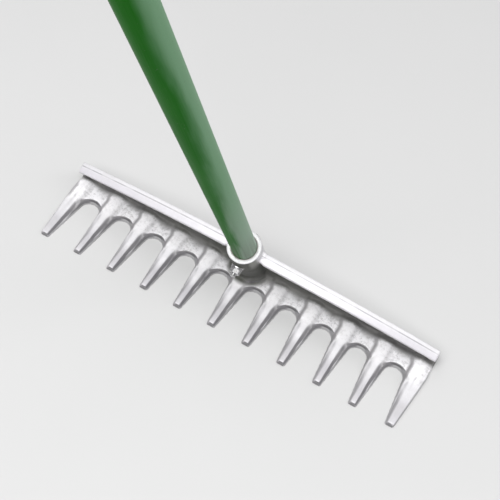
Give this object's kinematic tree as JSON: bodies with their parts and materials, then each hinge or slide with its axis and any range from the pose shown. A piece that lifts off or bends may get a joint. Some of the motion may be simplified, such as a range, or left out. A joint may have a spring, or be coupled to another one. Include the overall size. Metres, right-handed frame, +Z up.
{
  "type": "golf bunker rake",
  "caption": "Cast comb rake head with arched web and socket, bolted to a straight round handle tube that leans forward over the tines.",
  "frame": {"origin": "where the handle's axis meets the flat back of the head, which lies on the floor", "axes": "+X along the row of tines, -Y the way the tines point, +Z up; the handle rises and leans towards -Y"},
  "size_m": [0.432, 0.5296, 1.1153],
  "materials": {
    "cast_head": "as-cast and tumbled, bright",
    "green_tube": "green satin lacquer",
    "end_plug": "matt",
    "fastener": "bright plated"
  },
  "bodies": {
    "root": {"rake_head": "cast_head", "handle_tube": "green_tube", "handle_end_plug": "end_plug", "socket_bolt": "fastener", "bolt_washer": "fastener", "bolt_nut": "fastener"}
  },
  "joints": []
}
